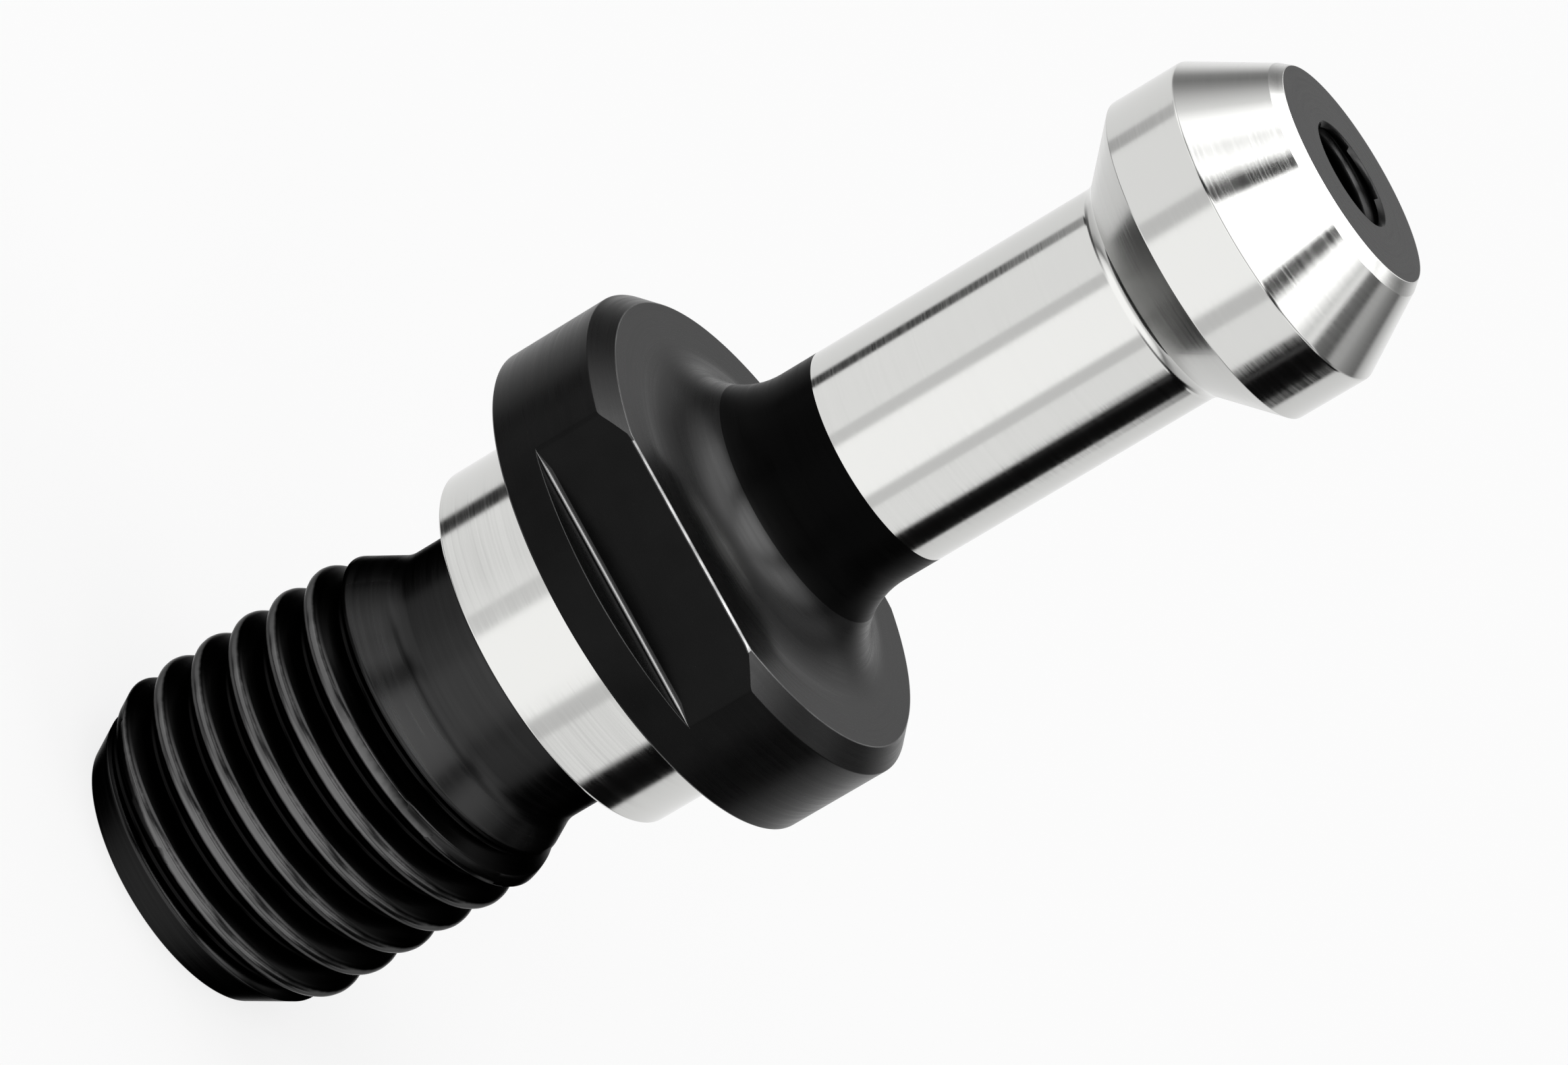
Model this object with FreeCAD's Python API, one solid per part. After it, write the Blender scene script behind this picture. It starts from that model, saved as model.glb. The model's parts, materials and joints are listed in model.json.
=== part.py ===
import FreeCAD, Part
import math
import os

# Pull stud of the 40 size with a 45 degree gripping cone: one piece, turned, threaded and milled.
# Lengths are in millimetres. The origin is the centre of the flange face that seats on the tool
# holder, and +Z runs along the axis to the gripping head. The threaded end lies below zero.

# Gripping head and neck, above the seat
head_top = 35.0
head_diameter = 15.0
head_cylinder_length = 3.2
grip_cone_top = 28.0
grip_cone_angle = 45.0
end_face_diameter = 10.4
neck_diameter = 10.0

# Flange with its two wrench flats
flange_diameter = 23.0
flange_thickness = 5.75
flange_chamfer = 0.85
neck_fillet_radius = 4.0
wrench_width = 19.0
wrench_ledge_height = 1.8

# Pilot that centres the stud, and the waist behind it
pilot_diameter = 17.0
pilot_length = 5.0
waist_diameter = 13.0
waist_length = 3.2
waist_fillet_radius = 2.0
waist_taper_angle = 28.0

# Thread, M16 x 2, with the crest's corners broken
thread_diameter = 16.0
thread_pitch = 2.0
thread_depth = 1.1
thread_root_width = 0.35
thread_flank_angle = 30.0
thread_crest_width = 0.25
thread_crest_break = 0.25
thread_end = 25.0
thread_start_angle = 73.0
lead_length = 3.0
lead_end_diameter = 12.8

# Coolant hole
bore_diameter = 4.6
bore_countersink = 0.4

# Edge breaks
fine_edge = 0.1
flange_seat_edge = 0.1


def point(radius, height):
    return FreeCAD.Vector(radius, 0, height)


class Outline:
    """A half section in the XZ plane, drawn from point to point."""

    def __init__(self, radius, height):
        self.here = point(radius, height)
        self.edges = []

    def line(self, radius, height):
        there = point(radius, height)
        self.edges.append(Part.LineSegment(self.here, there).toShape())
        self.here = there

    def arc(self, middle, end):
        self.edges.append(Part.Arc(self.here, point(*middle), point(*end)).toShape())
        self.here = point(*end)

    def wire(self):
        return Part.Wire(self.edges)


def arc_middle(centre, radius, angle):
    """The point at an angle, in degrees from the radial direction, on an arc in the half section."""
    turn = math.radians(angle)
    return centre[0] + radius * math.cos(turn), centre[1] + radius * math.sin(turn)


def waist_curve(outline, waist_radius, thread_radius, top):
    """A taper from the thread's full radius and a tangent arc that ends along the waist."""
    slope = math.radians(waist_taper_angle)
    centre = (waist_radius + waist_fillet_radius, top)
    foot_radius = centre[0] - waist_fillet_radius * math.cos(slope)
    foot_height = top - waist_fillet_radius * math.sin(slope)
    outline.line(thread_radius, foot_height - (thread_radius - foot_radius) / math.tan(slope))
    outline.line(foot_radius, foot_height)
    outline.arc(arc_middle(centre, waist_fillet_radius, 180 + waist_taper_angle / 2), (waist_radius, top))


def turned_blank():
    """The stud as it leaves the lathe: no thread, flats or hole yet."""
    waist_top = -pilot_length
    waist_bottom = waist_top - waist_length
    thread_radius = thread_diameter / 2
    pilot_radius = pilot_diameter / 2
    flange_radius = flange_diameter / 2
    neck_radius = neck_diameter / 2
    head_radius = head_diameter / 2
    fillet = neck_fillet_radius
    head_cone_bottom = grip_cone_top + head_cylinder_length
    grip_cone_bottom = grip_cone_top - (head_radius - neck_radius) / math.tan(math.radians(grip_cone_angle))

    outline = Outline(0, -thread_end)
    outline.line(lead_end_diameter / 2, -thread_end)
    outline.line(thread_radius, -thread_end + lead_length)
    waist_curve(outline, waist_diameter / 2, thread_radius, waist_bottom)
    outline.line(waist_diameter / 2, waist_top)
    outline.line(pilot_radius - fine_edge, waist_top)
    outline.line(pilot_radius, waist_top + fine_edge)
    outline.line(pilot_radius, 0)
    outline.line(flange_radius - flange_seat_edge, 0)
    outline.line(flange_radius, flange_seat_edge)
    outline.line(flange_radius, flange_thickness - flange_chamfer)
    outline.line(flange_radius - flange_chamfer, flange_thickness)
    outline.line(neck_radius + fillet, flange_thickness)
    fillet_centre = (neck_radius + fillet, flange_thickness + fillet)
    outline.arc(arc_middle(fillet_centre, fillet, 225), (neck_radius, flange_thickness + fillet))
    outline.line(neck_radius, grip_cone_bottom)
    outline.line(head_radius, grip_cone_top)
    outline.line(head_radius, head_cone_bottom)
    outline.line(end_face_diameter / 2, head_top)
    outline.line(0, head_top)
    outline.line(0, -thread_end)
    return Part.Face(outline.wire()).revolve(FreeCAD.Vector(), FreeCAD.Vector(0, 0, 1), 360)


def thread_groove():
    """The helical groove between the thread's crests, as one solid to be cut away."""
    crest_radius = thread_diameter / 2
    corner_radius = crest_radius - thread_crest_break
    root_radius = crest_radius - thread_depth
    # The cut's sides turn upright just outside the crest, so that neighbouring turns stay apart
    outer_radius = crest_radius + thread_crest_width / 8
    clear_radius = crest_radius + thread_crest_break
    crest_half = (thread_pitch - thread_crest_width) / 2
    root_half = thread_root_width / 2
    flank_width = (thread_depth - thread_crest_break) * math.tan(math.radians(thread_flank_angle))
    corner_half = root_half + flank_width
    crest_slope = (crest_half - corner_half) / thread_crest_break
    outer_half = crest_half + (outer_radius - crest_radius) * crest_slope

    start = -thread_end - 1.5 * thread_pitch
    outline = Outline(root_radius, start - root_half)
    outline.line(root_radius, start + root_half)
    outline.line(corner_radius, start + corner_half)
    outline.line(outer_radius, start + outer_half)
    outline.line(clear_radius, start + outer_half)
    outline.line(clear_radius, start - outer_half)
    outline.line(outer_radius, start - outer_half)
    outline.line(corner_radius, start - corner_half)
    outline.line(root_radius, start - root_half)

    top = -pilot_length - waist_length / 2
    helix = Part.makeLongHelix(thread_pitch, top - start, root_radius, 0)
    helix.translate(FreeCAD.Vector(0, 0, start))
    groove = Part.Wire(helix.Edges).makePipeShell([outline.wire()], True, True)
    groove.rotate(FreeCAD.Vector(), FreeCAD.Vector(0, 0, 1), thread_start_angle)
    return groove


def wrench_cuts():
    """What the milling cutter takes off the flange on its two opposite sides."""
    reach = flange_diameter
    depth = flange_diameter / 2
    height = flange_thickness
    front = Part.makeBox(2 * reach, depth, height, FreeCAD.Vector(-reach, -wrench_width / 2 - depth,
                                                                  wrench_ledge_height))
    back = Part.makeBox(2 * reach, depth, height, FreeCAD.Vector(-reach, wrench_width / 2,
                                                                 wrench_ledge_height))
    return [front, back]


def coolant_hole():
    """The drilled hole, a little longer than the stud at both ends, with its countersink below."""
    radius = bore_diameter / 2
    spare = 1.0
    hole = Part.makeCylinder(radius, thread_end + head_top + 2 * spare, FreeCAD.Vector(0, 0, -thread_end - spare))
    sink = Part.makeCone(radius + bore_countersink + spare, radius, bore_countersink + spare,
                         FreeCAD.Vector(0, 0, -thread_end - spare))
    return hole.fuse(sink)


def pull_stud():
    stud = turned_blank()
    for cutter in wrench_cuts() + [coolant_hole(), thread_groove()]:
        stud = stud.cut(cutter)
    return stud.Solids[0]


os.makedirs("parts", exist_ok=True)
shape = pull_stud()
shape.exportStep("parts/pull_stud.step")
box = shape.optimalBoundingBox()
print("pull_stud: valid", shape.isValid(), "volume mm3", round(shape.Volume, 1), "solids", len(shape.Solids))
print("size mm", round(box.XLength, 3), round(box.YLength, 3), round(box.ZLength, 3))
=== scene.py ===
# %% [markdown]
# # A pull stud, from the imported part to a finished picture
# A pull stud screws into the small end of a tool holder, and the spindle of a machining centre pulls on
# its head. It is one piece of hardened steel: turned, threaded, milled, blackened, and ground bright
# where it has to fit. This lesson loads the solid model as a fixed frame, and dresses it with a finer
# mesh and seven metal finishes. The frame could also be left out and all sizes typed in again, but then
# the picture and the solid could drift apart.

# %% Load the frame
import json
import math

import bmesh
import bpy
import numpy as np
from mathutils import Matrix, Vector


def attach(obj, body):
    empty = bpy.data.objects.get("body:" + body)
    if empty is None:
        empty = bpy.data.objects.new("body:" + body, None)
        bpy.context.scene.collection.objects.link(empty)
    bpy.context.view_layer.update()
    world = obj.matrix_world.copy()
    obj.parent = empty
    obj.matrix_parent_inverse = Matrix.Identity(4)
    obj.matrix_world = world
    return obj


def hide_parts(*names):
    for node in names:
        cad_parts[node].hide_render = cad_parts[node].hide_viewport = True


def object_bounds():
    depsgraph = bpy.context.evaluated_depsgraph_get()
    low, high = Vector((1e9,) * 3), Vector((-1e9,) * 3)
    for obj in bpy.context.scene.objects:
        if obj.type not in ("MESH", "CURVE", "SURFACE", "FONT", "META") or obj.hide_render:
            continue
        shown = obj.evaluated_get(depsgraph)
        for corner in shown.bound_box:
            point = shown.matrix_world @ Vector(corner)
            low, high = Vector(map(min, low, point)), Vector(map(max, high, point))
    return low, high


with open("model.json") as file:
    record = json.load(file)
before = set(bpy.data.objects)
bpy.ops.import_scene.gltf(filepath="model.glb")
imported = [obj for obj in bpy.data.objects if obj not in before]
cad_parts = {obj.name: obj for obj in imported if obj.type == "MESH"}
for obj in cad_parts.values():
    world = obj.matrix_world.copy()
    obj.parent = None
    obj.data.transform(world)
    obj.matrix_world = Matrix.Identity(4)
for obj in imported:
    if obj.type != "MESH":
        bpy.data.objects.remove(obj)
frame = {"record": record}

cad_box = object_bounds()

# %% [markdown]
# ## Sizes
# Blender works in metres and a machinist in millimetres. Here every size is written in millimetres, and
# one factor turns it to metres when a mesh is made. The sizes that fit other parts come from the mounts
# in the frame's record, so that they stay right if the part changes.

# %% Sizes from the frame
MM = 0.001
mounts = {mount["name"]: mount for mount in frame["record"]["mounts"]}
low, high = (tuple(value / MM for value in corner) for corner in cad_box)
head_top = high[2]
thread_end = low[2]
flange_radius = high[0]
flat_distance = -mounts["wrench_flats"]["pos_m"][1] / MM
pilot_radius = mounts["pilot"]["dims"]["r_mm"]
head_radius = mounts["head"]["dims"]["r_mm"]
head_length = mounts["head"]["dims"]["length_mm"]
neck_radius = mounts["neck"]["dims"]["r_mm"]
bore_radius = mounts["coolant_bore"]["dims"]["r_mm"]
thread_radius = mounts["thread"]["dims"]["r_mm"]
grip_cone_top = mounts["grip_cone"]["pos_m"][2] / MM
print("height", round(head_top - thread_end, 2), "flange radius", round(flange_radius, 2),
      "flats at", flat_distance)

# %% [markdown]
# ## The camera
# A long lens from about 0.3 m flattens the view, as in a catalogue picture. The camera looks at a point
# near the flange from a little above, and is rolled so that the stud's axis climbs to the upper right.
# A target object with a constraint could aim it too. Three turns in a row are easier to read, and they
# leave nothing behind in the scene.

# %% Place the camera
camera_aim = (0.73, 0.07, 6.26)
camera_distance = 314.2
camera_azimuth = 5.388
camera_elevation = 18.311
camera_roll = 59.253
lens_mm = 172.485

camera_data = bpy.data.cameras.new("camera")
camera_data.lens = lens_mm
camera_data.sensor_width = 36.0
camera_data.sensor_fit = "HORIZONTAL"
camera = bpy.data.objects.new("camera", camera_data)
bpy.context.scene.collection.objects.link(camera)
turn = (Matrix.Rotation(math.radians(camera_azimuth), 4, "Z")
        @ Matrix.Rotation(math.radians(90.0 - camera_elevation), 4, "X"))
aim = Vector(camera_aim) * MM
back = turn @ Vector((0.0, 0.0, camera_distance * MM))
camera.matrix_world = (Matrix.Translation(aim + back) @ turn
                       @ Matrix.Rotation(math.radians(camera_roll), 4, "Z"))
bpy.context.scene.camera = camera
print("camera at", [round(value / MM, 1) for value in camera.matrix_world.translation])

# %% [markdown]
# ## Columns round the axis
# A turned part is a section swept round an axis. Blender's Spin tool or the Screw modifier would do
# that, but the two milled flats and the thread change the section from place to place. So the mesh is
# built as a grid: columns stand at chosen angles round the axis, and rows run along the section. More
# columns stand where the flats meet the round side, because the corner there is sharp.

# %% Angles of the columns
even_columns = 216
corner_angle = math.degrees(math.acos(flat_distance / flange_radius))
corner_reach = 1.05
corner_columns = 15
fine_offsets = np.linspace(-corner_reach, corner_reach, corner_columns)
angles = [np.arange(even_columns) * 360.0 / even_columns]
for flat_direction in (90.0, 270.0):
    for side in (-1.0, 1.0):
        angles.append(flat_direction + side * corner_angle + fine_offsets)
azimuth = np.unique(np.round(np.concatenate(angles) % 360.0, 4))
columns = len(azimuth)
print("columns", columns, "flat corners at", round(corner_angle, 2), "degrees from the flat's middle")

# %% [markdown]
# ## Rounded corners
# No edge on a real part is perfectly sharp, and it is the small rounding that catches the light. A bevel
# modifier could round the finished mesh, but it struggles where a flat runs out into a chamfer. Here a
# section is a list of corners, and each corner becomes a true arc that touches both sides. The arc is a
# rational curve with three control points, which draws a circle exactly.

# %% One rounded corner
tiny = 1e-9


def rounded(before, corner, after, rounding, steps, share):
    """Points on the arc at a corner. It takes at most a share of the shorter side."""
    to_before = before - corner
    to_after = after - corner
    length_before = np.maximum(np.linalg.norm(to_before, axis=0), tiny)
    length_after = np.maximum(np.linalg.norm(to_after, axis=0), tiny)
    to_before = to_before / length_before
    to_after = to_after / length_after
    cosine = np.clip((to_before * to_after).sum(axis=0), -1.0, 1.0)
    half = 0.5 * np.arccos(cosine)
    reach = rounding / np.maximum(np.tan(half), tiny)
    reach = np.minimum(reach, share * np.minimum(length_before, length_after))
    start = corner + to_before * reach
    end = corner + to_after * reach
    weight = np.sin(half)
    points = []
    for step in range(steps + 1):
        t = step / steps
        pull = 2.0 * t * (1.0 - t) * weight
        points.append((start * (1.0 - t) ** 2 + corner * pull + end * t ** 2)
                      / ((1.0 - t) ** 2 + pull + t ** 2))
    return points


def section(corners):
    """Rows of points along a list of corners, and the finish of each strip between two rows."""
    places = [np.array([np.broadcast_to(np.asarray(c[0], float), (columns,)),
                        np.broadcast_to(np.asarray(c[1], float), (columns,))]) for c in corners]
    rows = []
    finishes = []
    for number, (_, _, rounding, steps, share, finish, arc) in enumerate(corners):
        inner = 0 < number < len(corners) - 1 and steps > 0
        if inner:
            points = rounded(places[number - 1], places[number], places[number + 1], rounding, steps, share)
        else:
            points = [places[number]]
        rows.extend(points)
        finishes.extend([arc or finish] * (len(points) - 1) + [finish])
    return np.array(rows), finishes[:-1]


def corner(radius, height, rounding=0.0, steps=0, share=0.45, finish="black", arc=None):
    """A corner of the section: place, rounding, the finish of what follows and that of the arc."""
    return radius, height, rounding, steps, share, finish, arc


square_corner = [np.array([[0.0], [1.0]]), np.array([[0.0], [0.0]]), np.array([[1.0], [0.0]])]
test_rounding = 0.5
middle = rounded(*square_corner, test_rounding, 2, 1.0)[1]
print("a corner rounded by", test_rounding, "mm passes the centre of its arc at",
      round(float(np.hypot(*(test_rounding - middle))[0]), 3), "mm")

# %% [markdown]
# ## The flats
# Two flats let a spanner turn the stud. A milling cutter takes them off the flange and stops above the
# seat, so a ledge is left below. In polar form a flat is a limit on the radius that grows with the angle
# from the flat's middle. Where the limit passes the flange's own radius the flat ends. A soft minimum
# joins the two, which rounds the upright edge. Far from its middle the flat's limit would grow without
# end, so its cosine is kept above a least value that no column on the flat comes near.

# %% Radius of the flats in each column
def soft_minimum(first, second, width):
    """The smaller of two values, blended where they are nearer than width."""
    blend = np.clip(0.5 + 0.5 * (second - first) / width, 0.0, 1.0)
    return second * (1.0 - blend) + first * blend - width * blend * (1.0 - blend)


from_flat = np.abs((azimuth % 180.0) - 90.0)
least_cosine = 0.2
flat_limit = flat_distance / np.maximum(np.cos(np.radians(from_flat)), least_cosine)
upright_edge = 0.12
flat_radius = soft_minimum(flat_limit, flange_radius, upright_edge)
print("flat from", round(float(flat_radius.min()), 3), "to", round(float(flat_radius.max()), 3), "mm")

# %% [markdown]
# ## The outline from the head to the waist
# These are the lathe's cuts in order, from the hole in the end face down to the neck behind the thread.
# Heights count from the seat, the flange face that the tool holder touches. The bore, the pilot and the
# flange have small chamfers, and a bright rim runs round the end face, where its edge was turned after
# blackening. The outline could be drawn as a curve and swept. As a list of corners, every size keeps its
# name.

# %% Sizes of the turned outline
end_face_radius = 5.2
neck_fillet = 4.0
flange_thickness = 5.75
flange_chamfer = 0.85
ledge_height = 1.8
seat_edge = 0.1
pilot_end = -5.0
pilot_chamfer = 0.1
waist_radius = 6.5
waist_fillet = 2.0
taper_angle = 28.0
taper_rounding = 3.0
waist_arc_end = -8.2
black_line = 11.6
flat_edge = 0.1
face_edge = 0.1
mouth_chamfer = 0.2
rim_width = 0.55

# Roundings of the corners
edge = 0.08
fine_edge = 0.05
mouth_edge = 0.06
rim_edge = 0.1
head_edge = 0.3
cone_foot = 0.9
ledge_root = 0.25
pilot_root = 0.15
waist_root = 0.3
lead_edge = 0.1
lead_top = 0.3

cone_length = math.hypot(head_radius - end_face_radius, head_top - grip_cone_top - head_length)
rim_out = rim_width * (head_radius - end_face_radius) / cone_length
rim_down = rim_width * (head_top - grip_cone_top - head_length) / cone_length

grip_cone_bottom = grip_cone_top - (head_radius - neck_radius)
head_cylinder_top = grip_cone_top + head_length
taper_slope = math.radians(taper_angle)
waist_corner = waist_arc_end - waist_fillet * math.tan(taper_slope / 2.0)
thread_corner = waist_corner - (thread_radius - waist_radius) / math.tan(taper_slope)

top_radius = np.minimum(flat_radius - flat_edge, flange_radius - flange_chamfer)
wall_top = flange_thickness - np.maximum(flat_edge, flat_radius - (flange_radius - flange_chamfer))
flat_wall_slack = 1.05
on_flat = wall_top > flange_thickness - flat_wall_slack * flat_edge
print("grip cone from", grip_cone_bottom, "to", grip_cone_top, "taper from", round(thread_corner, 3))

# %% [markdown]
# ## Rows of the upper part
# Each line is a corner: its radius, its height, how far it is rounded, in how many steps, and the finish of
# what follows. The waist's last stretch before the thread is an arc, and its rows are worked out from the
# circle. One long list reads like the operator's sheet at the lathe, from top to bottom. Below the black
# line on the neck, the rows down to 7.5 mm above the seat get the finish of the hollow.

# %% Rows from the hole's mouth to the waist
sheet_top = -9.0
waist_arc_rows = 9
waist_heights = np.linspace(waist_arc_end, sheet_top, waist_arc_rows)
waist_radii = (waist_radius + waist_fillet
               - np.sqrt(waist_fillet ** 2 - (waist_heights - waist_arc_end) ** 2))
upper = [
    corner(bore_radius, head_top - mouth_chamfer),
    corner(bore_radius + mouth_chamfer, head_top, mouth_edge, 3),
    corner(end_face_radius - face_edge, head_top, fine_edge, 3, finish="turned"),
    corner(end_face_radius + rim_out, head_top - rim_down, rim_edge, 4, finish="bright"),
    corner(head_radius, head_cylinder_top, head_edge, 6, finish="bright"),
    corner(head_radius, grip_cone_top, edge, 4, finish="turned"),
    corner(neck_radius, grip_cone_bottom, cone_foot, 10, finish="bright"),
    corner(neck_radius, black_line),
    corner(neck_radius, flange_thickness, neck_fillet, 18, share=1.0),
    corner(top_radius, flange_thickness, edge, 3, finish="flat edge", arc="edge"),
    corner(flat_radius, wall_top, edge, 3, arc="flat edge"),
    corner(flat_radius, ledge_height, ledge_root, 5, arc="waist"),
    corner(flange_radius, ledge_height, edge, 4),
    corner(flange_radius, seat_edge, fine_edge, 2),
    corner(flange_radius - seat_edge, 0.0, fine_edge, 2, finish="bright"),
    corner(pilot_radius, 0.0, pilot_root, 3, finish="bright"),
    corner(pilot_radius, pilot_end + pilot_chamfer, edge, 3, finish="bright"),
    corner(pilot_radius - pilot_chamfer, pilot_end, edge, 3),
    corner(waist_radius, pilot_end, waist_root, 4, finish="waist"),
]
for radius, height in zip(waist_radii, waist_heights):
    upper.append(corner(radius, height, finish="waist"))
upper_rows, upper_finish = section(upper)
# From 7.5 mm above the seat up to the black line, the neck gets the finish with painted shade.
shaded_hollow_from = 7.5
for number, row_height in enumerate(upper_rows[:-1, 1, 0]):
    if shaded_hollow_from < row_height < black_line + edge:
        upper_finish[number] = "hollow"
print("rows from mouth to waist", len(upper_rows), "in the hollow", upper_finish.count("hollow"))

# %% [markdown]
# ## The thread
# An M16 thread climbs 2 mm a turn, with flanks at 60 degrees to each other. A boolean with a swept
# profile gives shading faults, so the thread is a grid whose rows follow the helix. After one turn row n
# meets the row one pitch higher, and the seam closes by that offset. At both ends the turned outline
# cuts the thread down: the lead at the bottom and the taper at the top.

# %% The thread's own profile
pitch = 2.0
crest_rounding = 0.45
root_rounding = 0.19
flank = math.radians(60.0)
crest_half = crest_rounding * math.sin(flank)
root_half = root_rounding * math.sin(flank)
flank_drop = (pitch / 2.0 - crest_half - root_half) * math.tan(flank)
crest_drop = crest_rounding * (1.0 - math.cos(flank))
root_rise = root_rounding * (1.0 - math.cos(flank))
thread_depth = crest_drop + flank_drop + root_rise
root_radius = thread_radius - thread_depth
start_angle = 73.0


def profile_radius(offset):
    """The thread's radius at a distance along the axis from the middle of a crest."""
    s = np.abs(offset)
    on_crest = thread_radius - crest_rounding + np.sqrt(
        np.maximum(crest_rounding ** 2 - np.minimum(s, crest_half) ** 2, 0.0))
    on_flank = thread_radius - crest_drop - (s - crest_half) * math.tan(flank)
    from_root = np.minimum(np.abs(pitch / 2.0 - s), root_half)
    in_root = root_radius + root_rounding - np.sqrt(root_rounding ** 2 - from_root ** 2)
    return np.where(s < crest_half, on_crest, np.where(s < pitch / 2.0 - root_half, on_flank, in_root))


print("thread depth", round(thread_depth, 3), "mm")

# %% [markdown]
# ## Where the thread begins and ends
# The blank was turned before the thread was cut: a cone leads the thread in, and a taper ends it at the
# waist. The thread can be no fuller than that blank. So the blank's outline is a limit on the radius, read
# by interpolation at any height. Cutting the mesh with a second one would do the same, less cleanly.

# %% The turned outline that limits the thread
lead_length = 3.0
lead_radius = 6.4
sheet_bottom = -24.3
limit_rows, _ = section([
    corner(lead_radius, thread_end),
    corner(thread_radius, thread_end + lead_length, lead_top, 8),
    corner(thread_radius, thread_corner, taper_rounding, 24),
    corner(waist_radius, waist_corner, waist_fillet, 24, share=1.0),
    corner(waist_radius, pilot_end),
])
limit_heights = limit_rows[:, 1, 0]
limit_radii = limit_rows[:, 0, 0]


def limit_radius(height):
    """The radius that the lathe left before the thread was cut."""
    return np.interp(height, limit_heights, limit_radii)


middle_of_thread = 0.5 * (thread_end + thread_corner)
print("blank's radius at the waist and at the thread", round(float(limit_radius(pilot_end)), 2),
      round(float(limit_radius(middle_of_thread)), 2))

# %% [markdown]
# ## Rows along the helix
# A template holds the offsets of one turn's rows from the middle of its crest, close together on the arcs
# and far apart on the straight flanks. The crest rises with the angle, and so do its rows. Where the blank
# cuts the crest down, the rows over the cut are spread evenly across it, so that its two edges stay sharp.
# Spare turns past both ends are pressed flat onto the sheet's borders. A strip that the blank has cut down
# on both sides keeps the lathe's finish, and the rest gets the thread's.

# %% Rows along the helix
crest_steps = np.radians(np.array([-60.0, -40.0, -20.0, 0.0, 20.0, 40.0, 60.0]))
root_steps = np.radians(np.array([0.0, 20.0, 40.0, 60.0]))
template = np.concatenate([
    -pitch / 2.0 + root_rounding * np.sin(root_steps),
    crest_rounding * np.sin(crest_steps),
    pitch / 2.0 - root_rounding * np.sin(root_steps[:0:-1]),
])
rows_per_turn = len(template)
first_crest = -1
last_crest = 9
crests = np.arange(first_crest, last_crest + 1)
crest_height = thread_end + pitch * (azimuth[None, :] - start_angle) / 360.0 + pitch * crests[:, None]

samples = 401
nowhere = 9.0
fine = np.linspace(-pitch / 2.0, pitch / 2.0, samples)
over = (profile_radius(fine)[None, None, :]
        > limit_radius(crest_height[:, :, None] + fine[None, None, :]))
any_over = over.any(axis=2)
cut_from = np.where(any_over, fine[over.argmax(axis=2)], nowhere)
cut_to = np.where(any_over, fine[samples - 1 - over[:, :, ::-1].argmax(axis=2)], -nowhere)

offsets = np.repeat(template[None, :, None], len(crests), axis=0)
offsets = np.repeat(offsets, columns, axis=2)
inside = (offsets > cut_from[:, None, :]) & (offsets < cut_to[:, None, :])
rank = np.cumsum(inside, axis=1) - 1
count = np.maximum(inside.sum(axis=1, keepdims=True) - 1, 1)
spread = cut_from[:, None, :] + (cut_to - cut_from)[:, None, :] * rank / count
offsets = np.where(inside, spread, offsets)

heights = crest_height[:, None, :] + offsets
radii = np.minimum(profile_radius(offsets), limit_radius(heights))
heights = heights.reshape(-1, columns)
radii = radii.reshape(-1, columns)
clamped = np.clip(heights, sheet_bottom, sheet_top)
full_profile = profile_radius(offsets).reshape(-1, columns)
limit_there = limit_radius(heights)
cut_margin = 0.01
slim_margin = 0.05
turned_away = (full_profile > limit_there - cut_margin) & (limit_there < thread_radius - slim_margin)
radii = np.where(heights == clamped, radii, limit_radius(clamped))
thread_rows = np.stack([radii, clamped], axis=1)
print("thread rows", len(thread_rows), "of which a turn takes", rows_per_turn)

# %% [markdown]
# ## The lower end and the hole
# The coolant hole runs right through the stud, and a small countersink opens it below. The cylinder could
# be cut out with a boolean. As a sheet of the same grid it needs no repair afterwards.

# %% Rows of the lower end and the hole
sink = 0.4
mouth_thread_depth = 5.0
lower, lower_finish = section([
    corner(limit_radius(sheet_bottom), sheet_bottom, finish="waist"),
    corner(lead_radius, thread_end, lead_edge, 4),
    corner(bore_radius + sink, thread_end, fine_edge, 2),
    corner(bore_radius, thread_end + sink, fine_edge, 2),
    corner(bore_radius, head_top - mouth_thread_depth),
])
print("rows from the lead to the bore", len(lower))

# %% [markdown]
# ## The fine thread in the hole's mouth
# The mouth in the head carries a fine internal thread, and its first turns show in the picture. A pitch of
# 0.8 mm and a depth of 0.3 mm fit what shows. It is drawn with helical rows as the large thread is, with a
# wave in the radius in place of flanks, because no more can be seen in a hole of this size. The wave
# fades at both ends.

# %% Rows of the fine thread
fine_pitch = 0.8
fine_depth = 0.3
fine_steps = 6
mouth_fade = 0.1
fine_low = head_top - mouth_thread_depth
fine_high = head_top - mouth_chamfer
turns = np.arange(-1, int(mouth_thread_depth / fine_pitch) + 2)
wave_offsets = np.arange(fine_steps) * fine_pitch / fine_steps
fine_heights = (fine_low + fine_pitch * azimuth[None, None, :] / 360.0
                + fine_pitch * turns[:, None, None] + wave_offsets[None, :, None])
wave = 0.5 - 0.5 * np.cos(2.0 * np.pi * np.arange(fine_steps) / fine_steps)
fine_heights = fine_heights.reshape(-1, columns)
fine_clamped = np.clip(fine_heights, fine_low, fine_high)
fade = np.clip((fine_clamped - fine_low) / fine_pitch, 0.0, 1.0)
fade = fade * np.clip((fine_high - fine_clamped) / mouth_fade, 0.0, 1.0)
fine_radii = bore_radius + fine_depth * np.tile(wave, len(turns))[:, None] * fade
bore_rows = np.stack([fine_radii, fine_clamped], axis=1)
print("rows in the hole's mouth", len(bore_rows))

# %% [markdown]
# ## One mesh
# Four sheets of rows become one closed mesh. Points that fall together, at the sheets' borders and where
# rows were pressed onto a limit, are merged, and faces with no area go. Both distances are in metres. The
# finishes are kept as a number for each face, because one turned piece should stay one object, as the real
# stud is one piece of steel.

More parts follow.
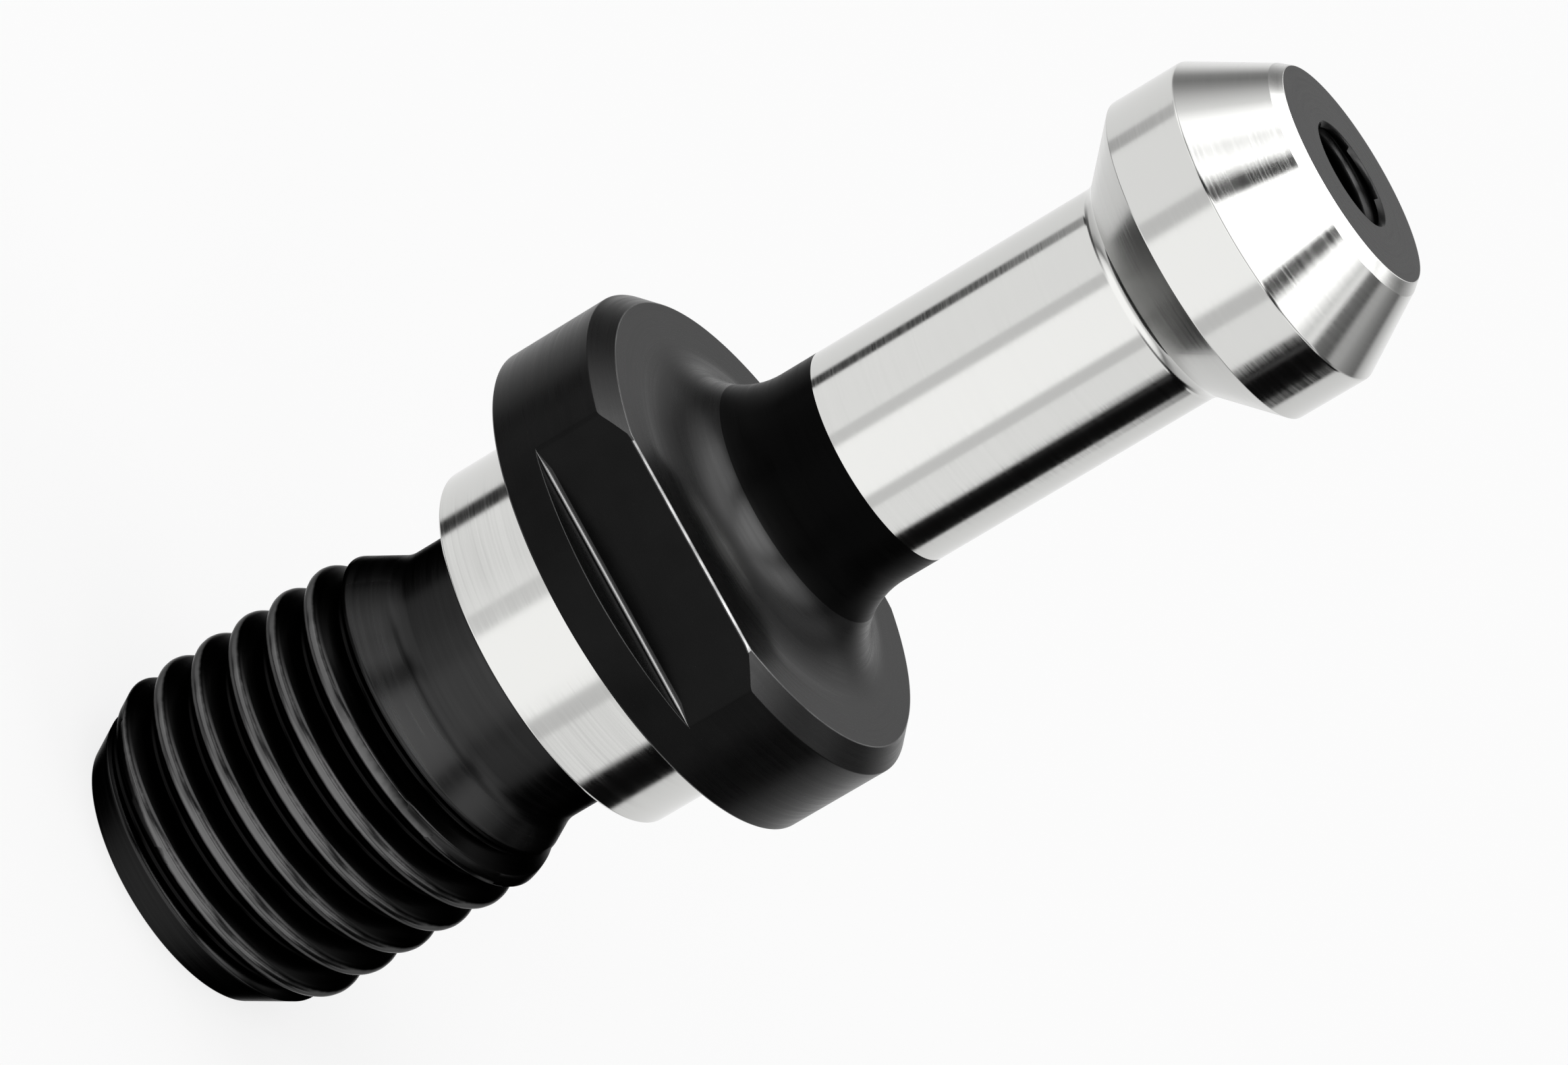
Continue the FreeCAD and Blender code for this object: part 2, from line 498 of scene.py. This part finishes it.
# %% Join the sheets
cos_azimuth = np.cos(np.radians(azimuth))
sin_azimuth = np.sin(np.radians(azimuth))
finish_names = ["black", "bright", "thread", "edge", "turned", "waist", "hollow"]
points = []
faces = []
face_finish = []


def finish_grid(names):
    """The finish number of each face, from the finish names of the strips."""
    numbers = [[finish_names.index(name.replace("flat ", ""))] for name in names]
    grid = np.repeat(numbers, columns, axis=1)
    for row, name in enumerate(names):
        if name == "flat edge":
            grid[row, ~on_flat] = finish_names.index("black")
    return grid


def add_sheet(rows, finishes, offset=0):
    """Adds a sheet of rows. offset is how many rows higher the sheet has got after one turn."""
    first = sum(len(part) for part in points)
    rows = np.asarray(rows)
    points.append(np.stack([rows[:, 0] * cos_azimuth, rows[:, 0] * sin_azimuth, rows[:, 1]],
                           axis=2).reshape(-1, 3))
    for row in range(len(rows) - 1 - offset):
        here = first + row * columns + np.arange(columns)
        above = here + columns
        beside = np.roll(here, -1)
        above_beside = np.roll(above, -1)
        beside[-1] += offset * columns
        above_beside[-1] += offset * columns
        faces.append(np.stack([here, beside, above_beside, above], axis=1))
        face_finish.append(finishes[row])


thread_finish = np.where(turned_away[:-1] & turned_away[1:], finish_names.index("waist"),
                         finish_names.index("thread"))
add_sheet(upper_rows, finish_grid(upper_finish))
add_sheet(thread_rows, thread_finish, rows_per_turn)
add_sheet(lower, finish_grid(lower_finish))
add_sheet(bore_rows, finish_grid(["black"] * (len(bore_rows) - 1)), fine_steps)

mesh = bpy.data.meshes.new("turned_stud")
mesh.from_pydata((np.concatenate(points) * MM).tolist(), [], np.concatenate(faces).tolist())
mesh.polygons.foreach_set("material_index", np.concatenate(face_finish).astype(np.int32))
merge_distance = 2e-6
least_edge = 1e-7
work = bmesh.new()
work.from_mesh(mesh)
bmesh.ops.remove_doubles(work, verts=work.verts, dist=merge_distance)
bmesh.ops.dissolve_degenerate(work, edges=work.edges, dist=least_edge)
bmesh.ops.recalc_face_normals(work, faces=work.faces)
open_edges = sum(1 for e in work.edges if len(e.link_faces) != 2)
volume = work.calc_volume()
triangles = sum(len(f.verts) - 2 for f in work.faces)
work.to_mesh(mesh)
work.free()
print("triangles", triangles, "open edges", open_edges, "volume mm3", round(volume / MM ** 3, 1))

# %% [markdown]
# ## Shading
# Smooth shading averages the normals of neighbouring faces, and beside a small arc that makes a large face
# look bent. Splitting the edges would cure it but would leave no rounded look at all. So each point gets a
# normal in which every face counts by its area: a large face then keeps its own direction up to the arc.

# %% Normals weighted by area
least_length = 1e-20


def weighted_normals(mesh):
    """A normal for each point, in which each face counts by its area."""
    count = len(mesh.polygons)
    normals = np.empty(count * 3)
    areas = np.empty(count)
    mesh.polygons.foreach_get("normal", normals)
    mesh.polygons.foreach_get("area", areas)
    starts = np.empty(count, np.int32)
    totals = np.empty(count, np.int32)
    mesh.polygons.foreach_get("loop_start", starts)
    mesh.polygons.foreach_get("loop_total", totals)
    corners = np.empty(len(mesh.loops), np.int32)
    mesh.loops.foreach_get("vertex_index", corners)
    weighted = normals.reshape(-1, 3) * areas[:, None]
    summed = np.zeros((len(mesh.vertices), 3))
    np.add.at(summed, corners, np.repeat(weighted, totals, axis=0))
    return summed / np.maximum(np.linalg.norm(summed, axis=1, keepdims=True), least_length)


mesh.polygons.foreach_set("use_smooth", np.ones(len(mesh.polygons), bool))
mesh.normals_split_custom_set_from_vertices(weighted_normals(mesh).tolist())
stud = bpy.data.objects.new("turned_stud", mesh)
bpy.context.scene.collection.objects.link(stud)
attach(stud, "root")
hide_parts("pull_stud")
print("stud with", len(mesh.vertices), "points and", len(mesh.polygons), "faces")

# %% [markdown]
# ## Helpers for materials
# Colours are written as sRGB hex values, as a colour picker gives them. The shader wants linear values, so
# one function turns them. The node trees could be laid out by hand in the shader editor. One function that
# adds any node, with its settings and its links, keeps each finish to a few lines that read like its tree.

# %% Colour and nodes
def linear(hex_colour):
    """Linear red, green, blue and full alpha of an sRGB hex colour."""
    values = [int(hex_colour[place:place + 2], 16) / 255.0 for place in (1, 3, 5)]
    return [v / 12.92 if v <= 0.04045 else ((v + 0.055) / 1.055) ** 2.4 for v in values] + [1.0]


def add_node(tree, kind, settings=None, **inputs):
    """A new node. Inputs are values or sockets by name, or by number as i0, i1 and so on."""
    node = tree.nodes.new(kind)
    for name, value in (settings or {}).items():
        setattr(node, name, value)
    for name, value in inputs.items():
        key = int(name[1:]) if name[0] == "i" and name[1:].isdigit() else name.replace("_", " ")
        socket = node.inputs[key]
        if isinstance(value, bpy.types.NodeSocket):
            tree.links.new(value, socket)
        else:
            socket.default_value = value
    return node


def new_material(name):
    """An empty material, its node tree and its output node."""
    material = bpy.data.materials.new(name)
    material.use_nodes = True
    material.node_tree.nodes.clear()
    output = material.node_tree.nodes.new("ShaderNodeOutputMaterial")
    return material, material.node_tree, output


print("#808080 in linear light", round(linear("#808080")[0], 3))

# %% [markdown]
# ## Marks that run round the axis
# A lathe tool or a grinding wheel leaves fine lines in rings round the axis. An image wrapped round the part
# could show them, but it would need a seam and would pinch at the end face. Here noise is read at a place's
# radius and height, which change fast across the rings, and at the sine and cosine of its angle, which
# change slowly along them. Four numbers make the noise four-dimensional, and it closes without a seam. Most
# of the noise lies between 0.3 and 0.7, so later nodes stretch that range. The bump nodes take the marks as
# 0.02 mm high, and weaken them by their strength.

# %% Coordinates for rings
def lathe_coordinates(tree, ring_mm, along_degrees):
    """A vector and a fourth value for noise in rings, and the place's distance from the axis."""
    place = add_node(tree, "ShaderNodeTexCoord").outputs["Object"]
    x, y, z = add_node(tree, "ShaderNodeSeparateXYZ", Vector=place).outputs
    x_square = add_node(tree, "ShaderNodeMath", {"operation": "MULTIPLY"}, i0=x, i1=x).outputs[0]
    square = add_node(tree, "ShaderNodeMath", {"operation": "MULTIPLY_ADD"}, i0=y, i1=y,
                      i2=x_square).outputs[0]
    radius = add_node(tree, "ShaderNodeMath", {"operation": "SQRT"}, i0=square).outputs[0]
    cosine = add_node(tree, "ShaderNodeMath", {"operation": "DIVIDE"}, i0=x, i1=radius).outputs[0]
    sine = add_node(tree, "ShaderNodeMath", {"operation": "DIVIDE"}, i0=y, i1=radius).outputs[0]
    across = 1.0 / (ring_mm * MM)
    along = 1.0 / math.radians(along_degrees)
    scaled = [add_node(tree, "ShaderNodeMath", {"operation": "MULTIPLY"}, i0=value, i1=factor).outputs[0]
              for value, factor in ((radius, across), (z, across), (cosine, along), (sine, along))]
    vector = add_node(tree, "ShaderNodeCombineXYZ", X=scaled[0], Y=scaled[1], Z=scaled[2]).outputs[0]
    return vector, scaled[3], radius


noise_low = 0.3
noise_high = 0.7
mark_height = 0.02 * MM
grinding_line = 0.09
print("rings", grinding_line, "mm wide cross the neck", round(2 * neck_radius / grinding_line), "times")

# %% [markdown]
# ## Ground and turned steel
# The pilot, the neck and the head are hardened steel, ground after hardening because other parts fit on
# them. A ground face is nearly a mirror: it shows the studio's panels as stripes, a little soft at their
# edges. The 45 degree cone and the rim were turned last, and their feed marks scatter the light more. Bare
# steel is metallic 1, and a typical base colour is near #c8c8c8, here a touch paler. The roughness is near
# 0.12 where it is ground and near 0.22 where it is turned. Real grinding lines are about 0.01 mm apart, too
# fine to show, so they are drawn 0.09 mm apart. The feed marks of 0.05 mm are drawn 0.12 mm apart for the
# same reason. Anisotropic shading could stand for the lines too, but noise in the roughness keeps their
# uneven look.

# %% Bare steel in two finishes
bare_steel = "#d2d2d0"
feed_mark = 0.12
grinding_arc = 60.0
steel_bump = 0.02


def steel(name, line_mm, least, most):
    """Bare steel with fine rings, in which the roughness runs from least to most."""
    material, tree, output = new_material(name)
    vector, fourth, _ = lathe_coordinates(tree, line_mm, grinding_arc)
    lines = add_node(tree, "ShaderNodeTexNoise", {"noise_dimensions": "4D"}, Vector=vector, W=fourth,
                     Scale=1.0, Detail=3.0, Roughness=0.6).outputs["Fac"]
    roughness = add_node(tree, "ShaderNodeMapRange", Value=lines, From_Min=noise_low, From_Max=noise_high,
                         To_Min=least, To_Max=most).outputs["Result"]
    bump = add_node(tree, "ShaderNodeBump", Strength=steel_bump, Distance=mark_height,
                    Height=lines).outputs["Normal"]
    shader = add_node(tree, "ShaderNodeBsdfPrincipled", Base_Color=linear(bare_steel), Metallic=1.0,
                      Roughness=roughness, Normal=bump)
    tree.links.new(shader.outputs["BSDF"], output.inputs["Surface"])
    return material


ground_steel = steel("ground_hardened_steel", grinding_line, 0.08, 0.15)
turned_steel = steel("fine_turned_hardened_steel", feed_mark, 0.19, 0.25)
print("steel finishes", ground_steel.name, turned_steel.name)

# %% [markdown]
# ## Black oxide on the flange and the end face
# The flange, the fillet and the end face were turned, and the whole stud was then blackened in a hot salt
# bath. The bath turns the steel's skin into black iron oxide, one or two thousandths of a millimetre thick,
# and oil seals it. The eye sees a deep satin black in which the tool's rings only just show. The oxide is no
# metal to the eye, so it is metallic 0 with the oil's index of 1.45 and a roughness near 0.28. Its specular
# level is far below the usual 0.5, because the film swallows nearly all the light. A paint could be made
# the same way, but paint would round the edges and hide the rings. Clouds of 1.5 mm vary the black a
# little, as the bath leaves it, and the rings of 0.1 mm are drawn 0.15 mm apart so that they can show. The
# rings lie under every black finish of the stud, so one function makes them for all four.

# %% Turning rings under the oxide
ring_width = 0.15
turning_arc = 45.0
oxide_bump = 0.05


def oxide_rings(tree, least, most):
    """Noise in rings, the roughness from least to most and the bump that it gives, and the radius."""
    vector, fourth, radius = lathe_coordinates(tree, ring_width, turning_arc)
    rings = add_node(tree, "ShaderNodeTexNoise", {"noise_dimensions": "4D"}, Vector=vector, W=fourth,
                     Scale=1.0, Detail=2.0, Roughness=0.6).outputs["Fac"]
    roughness = add_node(tree, "ShaderNodeMapRange", Value=rings, From_Min=noise_low, From_Max=noise_high,
                         To_Min=least, To_Max=most).outputs["Result"]
    bump = add_node(tree, "ShaderNodeBump", Strength=oxide_bump, Distance=mark_height,
                    Height=rings).outputs["Normal"]
    return rings, roughness, bump, radius


print("turning rings drawn", ring_width, "mm apart")

# %% Black oxide on turned steel
black_oxide, tree, output = new_material("black_oxide_on_turned_steel")
cloud_width = 1.5
_, roughness, bump, _ = oxide_rings(tree, 0.24, 0.32)
place = add_node(tree, "ShaderNodeTexCoord").outputs["Object"]
clouds = add_node(tree, "ShaderNodeTexNoise", Vector=place, Scale=1.0 / (cloud_width * MM),
                  Detail=4.0).outputs["Fac"]
tone = add_node(tree, "ShaderNodeMapRange", Value=clouds, From_Min=noise_low,
                From_Max=noise_high).outputs["Result"]
base = add_node(tree, "ShaderNodeMix", {"data_type": "RGBA"}, Factor=tone, i6=linear("#070707"),
                i7=linear("#0c0c0c"))
shader = add_node(tree, "ShaderNodeBsdfPrincipled", Base_Color=base.outputs[2], Metallic=0.0,
                  Roughness=roughness, IOR=1.45, Specular_IOR_Level=0.095, Normal=bump)
tree.links.new(shader.outputs["BSDF"], output.inputs["Surface"])
print(black_oxide.name, "nodes", len(tree.nodes))

# %% [markdown]
# ## Black oxide with painted shade in the hollow of the neck
# Where the fillet runs up into the neck, the black is painted deeper than on the flange and the sheen is
# cut to a fifth, as painted shade in the hollow. The eye sees almost no sheen at all there. It could be one
# finish with the flange's, with a mask for the painted shade, but the specular level has to be a plain
# number to reach the exported model. So it is a finish of its own, the same oxide with a darker base and a
# fifth of the sheen.

# %% Black oxide with painted shade in the neck's hollow
# A darker base, #040404 to #070707, and a fifth of the sheen paint the shade in the hollow of the neck.
shaded_neck_oxide, tree, output = new_material("black_oxide_with_painted_shade_on_neck")
rings, roughness, bump, _ = oxide_rings(tree, 0.26, 0.34)
base = add_node(tree, "ShaderNodeMix", {"data_type": "RGBA"}, Factor=rings, i6=linear("#040404"),
                i7=linear("#070707"))
shader = add_node(tree, "ShaderNodeBsdfPrincipled", Base_Color=base.outputs[2], Metallic=0.0,
                  Roughness=roughness, IOR=1.45, Specular_IOR_Level=0.02, Normal=bump)
tree.links.new(shader.outputs["BSDF"], output.inputs["Surface"])
print(shaded_neck_oxide.name, "nodes", len(tree.nodes))

# %% [markdown]
# ## Black oxide on the thread
# The same bath blackened the thread, but its crests rub on each other in the box and on the tool holder, so
# the film is thinner there and dark grey steel shines through. The eye sees a grey line on each crest and
# near black in the grooves. Vertex colours could mark the crests. The distance from the axis finds them
# with no extra data: from 7.9 mm out the colour turns from oxide to worn steel. Here the thin film over
# steel reflects like the metal below it, so it is metallic 1 with a dark base. A grey specular tint holds
# back the bright rim that a metal gets at a flat angle, which an oxide film doesn't have. A noise of 0.4 mm
# frays the worn line.

# %% Rubbed black oxide on the thread
thread_oxide, tree, output = new_material("rubbed_black_oxide_on_thread")
wear_from = 7.9
wear_to = 7.985
wear_fray = 0.04
fray_width = 0.4
_, roughness, bump, radius = oxide_rings(tree, 0.18, 0.24)
place = add_node(tree, "ShaderNodeTexCoord").outputs["Object"]
fray = add_node(tree, "ShaderNodeTexNoise", Vector=place, Scale=1.0 / (fray_width * MM),
                Detail=2.0).outputs["Fac"]
fray = add_node(tree, "ShaderNodeMath", {"operation": "MULTIPLY_ADD"}, i0=fray, i1=wear_fray * MM,
                i2=-0.5 * wear_fray * MM).outputs[0]
worn_radius = add_node(tree, "ShaderNodeMath", {"operation": "ADD"}, i0=radius, i1=fray).outputs[0]
worn = add_node(tree, "ShaderNodeMapRange", {"interpolation_type": "SMOOTHSTEP"}, Value=worn_radius,
                From_Min=wear_from * MM, From_Max=wear_to * MM).outputs["Result"]
base = add_node(tree, "ShaderNodeMix", {"data_type": "RGBA"}, Factor=worn, i6=linear("#121212"),
                i7=linear("#5e5e5e"))
shader = add_node(tree, "ShaderNodeBsdfPrincipled", Base_Color=base.outputs[2], Metallic=1.0,
                  Roughness=roughness, Specular_Tint=linear("#a8a8a8"), Normal=bump)
tree.links.new(shader.outputs["BSDF"], output.inputs["Surface"])
print(thread_oxide.name, "worn from", wear_from, "mm off the axis")

# %% [markdown]
# ## Black oxide on the waist, the lead and the ledge
# The waist behind the thread, the cone that leads the thread in and the ledge under the flats were cut with
# a sharp tool and never rubbed. Their film is even and a little glossier, and it shows the studio as a soft
# dark grey. The flange's oxide could serve here, but at the flat angles of these faces its clear sheen comes
# out too white. So this finish is the film as a dark metal as well: metallic 1, base #323232, roughness
# about 0.26, and a dark specular tint. The turning rings are the same 0.15 mm.

# %% Black oxide on the waist
waist_oxide, tree, output = new_material("black_oxide_on_waist")
rings, roughness, bump, _ = oxide_rings(tree, 0.23, 0.29)
base = add_node(tree, "ShaderNodeMix", {"data_type": "RGBA"}, Factor=rings, i6=linear("#2c2c2c"),
                i7=linear("#383838"))
shader = add_node(tree, "ShaderNodeBsdfPrincipled", Base_Color=base.outputs[2], Metallic=1.0,
                  Roughness=roughness, Specular_Tint=linear("#484848"), Normal=bump)
tree.links.new(shader.outputs["BSDF"], output.inputs["Surface"])
print(waist_oxide.name, "nodes", len(tree.nodes))

# %% [markdown]
# ## Worn edges
# Handling rubs the oxide off first along the sharp edges of the flats, and the steel below draws a thin
# line of light there. Pointiness from the Geometry node could find edges, but it needs a dense mesh. Here
# the small arcs along the flats are faces of their own, so they simply get their own finish: steel still
# half covered by oxide, metallic 1 with a dark base, in patches of about 1.2 mm.

# %% Rubbed edge of the flats
rubbed_edge, tree, output = new_material("rubbed_black_oxide_edge")
patch_width = 1.2
patch_low = 0.35
patch_high = 0.65
place = add_node(tree, "ShaderNodeTexCoord").outputs["Object"]
wear = add_node(tree, "ShaderNodeTexNoise", Vector=place, Scale=1.0 / (patch_width * MM),
                Detail=3.0).outputs["Fac"]
share = add_node(tree, "ShaderNodeMapRange", Value=wear, From_Min=patch_low,
                 From_Max=patch_high).outputs["Result"]
base = add_node(tree, "ShaderNodeMix", {"data_type": "RGBA"}, Factor=share, i6=linear("#303030"),
                i7=linear("#484848"))
roughness = add_node(tree, "ShaderNodeMapRange", Value=wear, From_Min=patch_low, From_Max=patch_high,
                     To_Min=0.34, To_Max=0.26).outputs["Result"]
shader = add_node(tree, "ShaderNodeBsdfPrincipled", Base_Color=base.outputs[2], Metallic=1.0,
                  Roughness=roughness)
tree.links.new(shader.outputs["BSDF"], output.inputs["Surface"])

materials = {"black": black_oxide, "bright": ground_steel, "thread": thread_oxide, "edge": rubbed_edge,
             "turned": turned_steel, "waist": waist_oxide, "hollow": shaded_neck_oxide}
for name in finish_names:
    mesh.materials.append(materials[name])
print("finishes on the stud", [material.name for material in mesh.materials])

# %% [markdown]
# ## The floor
# The real stud was pictured on plain white. The floor here is matt white paper, at the height of the
# thread's end, so that the stud stands on it. A pure emission would give the same white but would swallow
# the shadow. So camera rays see four parts of plain white and one part of paper, and the paper carries
# the soft shadow. White paper reflects about nine tenths of the light, which is #f4f4f4. Polished steel
# doesn't see the floor, because it is meant to mirror the studio's panels below as well.

# %% Floor
floor_height = thread_end * MM
floor_half = 3.0
white_share = 0.8
floor_mesh = bpy.data.meshes.new("floor")
floor_corners = [(x * floor_half, y * floor_half, floor_height)
                 for x, y in ((-1, -1), (1, -1), (1, 1), (-1, 1))]
floor_mesh.from_pydata(floor_corners, [], [(0, 1, 2, 3)])
floor = bpy.data.objects.new("floor", floor_mesh)
bpy.context.scene.collection.objects.link(floor)
floor.visible_glossy = False
paper, tree, output = new_material("white_paper")
surface = add_node(tree, "ShaderNodeBsdfDiffuse", Color=linear("#f4f4f4"))
white = add_node(tree, "ShaderNodeEmission", Color=linear("#ffffff"), Strength=1.0)
path = add_node(tree, "ShaderNodeLightPath")
share = add_node(tree, "ShaderNodeMath", {"operation": "MULTIPLY"}, i0=path.outputs["Is Camera Ray"],
                 i1=white_share).outputs[0]
mix = add_node(tree, "ShaderNodeMixShader", i0=share, i1=surface.outputs["BSDF"],
               i2=white.outputs["Emission"])
tree.links.new(mix.outputs["Shader"], output.inputs["Surface"])
floor_mesh.materials.append(paper)
print("floor at", round(floor_height / MM, 2), "mm")

# %% [markdown]
# ## The studio's walls
# Polished metal has no colour of its own to show: it shows the room. The room of the picture was white
# panels round the part, with dark gaps between them, and the stripes on the neck are those panels and gaps.
# Area lamps and black cards could be set up one by one. Here the world itself is the room, because a
# world has no shadows to tune. Five rings of panels lie at five heights, and each is a colour ramp round
# the vertical axis. Angle 0 is the side towards the camera, and a positive angle is to its right. The
# numbers are pairs of angle in degrees and brightness, read off the stripes by the law of reflection.

# %% Rings of panels
low_ring = [(-180, 0.75), (-114, 0.75), (-110, 0.03), (-100, 0.03), (-97, 0.86), (-42, 0.86), (-40, 0.64),
            (-30, 0.64), (-26, 1.06), (26, 1.06), (30, 0.64), (40, 0.64), (42, 0.86), (76, 0.86),
            (81, 0.003), (110, 0.003), (113, 0.7), (180, 0.75)]
head_ring = [(-180, 0.75), (-112, 0.75), (-110, 0.55), (-100, 0.55), (-98, 0.83), (-42, 0.83), (-40, 0.58),
             (-30, 0.58), (-26, 1.03), (26, 1.03), (30, 0.58), (40, 0.58), (42, 0.83), (70, 0.83),
             (74, 0.01), (81, 0.01), (84, 0.07), (87, 0.003), (120, 0.003), (123, 0.65), (180, 0.75)]
high_ring = [(-180, 0.6), (-156, 0.4), (-149, 0.33), (-142, 0.23), (-135, 0.24), (-128, 0.38),
             (-121, 0.55), (-107, 0.78), (-101, 1.12), (-95, 1.4), (-84, 1.4), (-74, 0.98), (-57, 1.35),
             (-46, 0.04), (-36, 0.02), (-32, 1.5), (34, 1.5), (37, 0.04), (48, 0.04), (56, 1.3), (76, 1.25),
             (81, 0.92), (86, 0.65), (92, 0.95), (97, 0.17), (109, 0.1), (114, 0.42), (121, 0.45),
             (130, 0.3), (140, 0.14), (146, 0.4), (180, 0.6)]
deep_ring = [(-180, 0.8), (-140, 0.7), (-110, 0.1), (-80, 0.04), (-60, 0.15), (-30, 1.15), (16, 1.15),
             (34, 0.25), (60, 0.12), (72, 0.05), (78, 0.003), (110, 0.003), (140, 0.7), (180, 0.8)]
foot_ring = [(-180, 0.75), (-100, 0.5), (-75, 0.2), (-60, 0.85), (-40, 1.15), (40, 1.15), (60, 0.85),
             (75, 0.2), (100, 0.5), (180, 0.75)]

world = bpy.data.worlds.new("studio")
world.use_nodes = True
bpy.context.scene.world = world
tree = world.node_tree
tree.nodes.clear()
direction = add_node(tree, "ShaderNodeTexCoord").outputs["Generated"]
to_camera = math.radians(90.0 - camera_azimuth)
turned = add_node(tree, "ShaderNodeVectorRotate", {"rotation_type": "Z_AXIS"}, Vector=direction,
                  Angle=to_camera).outputs[0]
front, side, height = add_node(tree, "ShaderNodeSeparateXYZ", Vector=turned).outputs
angle = add_node(tree, "ShaderNodeMath", {"operation": "ARCTAN2"}, i0=side, i1=front).outputs[0]
round_place = add_node(tree, "ShaderNodeMath", {"operation": "MULTIPLY_ADD"}, i0=angle,
                       i1=1.0 / (2.0 * math.pi), i2=0.5).outputs[0]
rings = []
for panels in (low_ring, head_ring, high_ring, deep_ring, foot_ring):
    node = add_node(tree, "ShaderNodeValToRGB", Fac=round_place)
    stops = node.color_ramp.elements
    stops.remove(stops[-1])
    for number, (panel_angle, grey) in enumerate(panels):
        position = (panel_angle + 180.0) / 360.0
        stop = stops[0] if number == 0 else stops.new(position)
        stop.position = position
        stop.color = (grey, grey, grey, 1.0)
    rings.append(node.outputs["Color"])
print("rings of panels", len(rings), "stops in the high one", len(high_ring))

# %% [markdown]
# ## From one ring to the next
# The rings pass into each other with height. Each step here is a Map Range node on the direction's height, a
# multiplication by the step's depth, and a Mix node. The dark gap is the space between the wall panels and
# the ceiling lamp, which gives the fillet and the cones their shadows. It is deepest towards the camera and
# fades out between 15 and 25 degrees of height. Below everything the studio is plain grey. A gradient
# texture could blend them too, but its one slope would not keep the sharp borders that the real stripes
# have.

# %% Blend the rings by height
def sine(degrees):
    """The height of a direction at an elevation."""
    return math.sin(math.radians(degrees))


gap_side_width = 0.3
gap_behind = 0.25
gap_in_front = 0.92
gap_gone = 25.0
gap_full = 15.0
to_front = add_node(tree, "ShaderNodeMapRange", Value=front, From_Min=-gap_side_width,
                    From_Max=gap_side_width, To_Min=gap_behind, To_Max=gap_in_front).outputs["Result"]
gap_top = add_node(tree, "ShaderNodeMapRange", {"interpolation_type": "SMOOTHSTEP"}, Value=height,
                   From_Min=sine(gap_gone), From_Max=sine(gap_full)).outputs["Result"]
gap_depth = add_node(tree, "ShaderNodeMath", {"operation": "MULTIPLY"}, i0=to_front, i1=gap_top).outputs[0]
dark_gap = (0.01, 0.01, 0.01, 1.0)
ground_grey = (0.6, 0.6, 0.6, 1.0)
low_level, head_level, high_level, deep_level, foot_level = rings
# Each step runs from one elevation to another, in degrees, and ends in a ring or a grey
steps = (
    (-15.9, -14.7, head_level, 1.0),
    (-4.0, 9.0, high_level, 1.0),
    (-21.6, -22.9, deep_level, 1.0),
    (-29.0, -34.0, foot_level, 1.0),
    (7.0, 13.0, dark_gap, gap_depth),
    (-52.0, -70.0, ground_grey, 1.0),
)
walls = low_level
for first, last, level, depth in steps:
    step = add_node(tree, "ShaderNodeMapRange", {"interpolation_type": "SMOOTHSTEP"}, Value=height,
                    From_Min=sine(first), From_Max=sine(last)).outputs["Result"]
    step = add_node(tree, "ShaderNodeMath", {"operation": "MULTIPLY"}, i0=step, i1=depth).outputs[0]
    walls = add_node(tree, "ShaderNodeMix", {"data_type": "RGBA"}, Factor=step, i6=walls,
                     i7=level).outputs[2]
print("nodes in the walls", len(tree.nodes))

# %% [markdown]
# ## The ceiling lamp and the white background
# A large round lamp hung above and a little behind the part. The black fillet, the chamfers and the crests
# show it as a soft band of light, brighter on the side towards the camera. An area lamp would light the
# floor and the shadows too, so here the lamp is in the world and only glossy rays meet it. The camera itself
# sees plain white, at a strength of 1.

# %% Lamp and background
lamp_tilt = -15.0
lamp_rim = 54.5
lamp_core = 50.0
lamp_behind = 2.2
lamp_in_front = 15.0
panel_strength = 1.25
lamp_direction = (math.sin(math.radians(lamp_tilt)), 0.0, math.cos(math.radians(lamp_tilt)))
toward_lamp = add_node(tree, "ShaderNodeVectorMath", {"operation": "DOT_PRODUCT"}, i0=turned,
                       i1=lamp_direction).outputs["Value"]
lamp_shape = add_node(tree, "ShaderNodeMapRange", {"interpolation_type": "SMOOTHSTEP"}, Value=toward_lamp,
                      From_Min=math.cos(math.radians(lamp_rim)),
                      From_Max=math.cos(math.radians(lamp_core))).outputs["Result"]
lamp_power = add_node(tree, "ShaderNodeMapRange", Value=front, From_Min=-0.6, From_Max=0.5,
                      To_Min=lamp_behind, To_Max=lamp_in_front).outputs["Result"]
lamp = add_node(tree, "ShaderNodeMath", {"operation": "MULTIPLY"}, i0=lamp_shape, i1=lamp_power).outputs[0]
path = add_node(tree, "ShaderNodeLightPath").outputs
lamp_seen = add_node(tree, "ShaderNodeMath", {"operation": "MULTIPLY"}, i0=lamp,
                     i1=path["Is Glossy Ray"]).outputs[0]
strength = add_node(tree, "ShaderNodeMath", {"operation": "ADD"}, i0=panel_strength, i1=lamp_seen).outputs[0]
studio = add_node(tree, "ShaderNodeBackground", Color=walls, Strength=strength).outputs[0]
white = add_node(tree, "ShaderNodeBackground", Color=linear("#ffffff"), Strength=1.0).outputs[0]
mix = add_node(tree, "ShaderNodeMixShader", i0=path["Is Camera Ray"], i1=studio, i2=white)
output = tree.nodes.new("ShaderNodeOutputWorld")
tree.links.new(mix.outputs["Shader"], output.inputs["Surface"])
bpy.context.scene.view_settings.view_transform = "Standard"
print("lamp", 2 * lamp_rim, "degrees wide, tilted back by", -lamp_tilt)
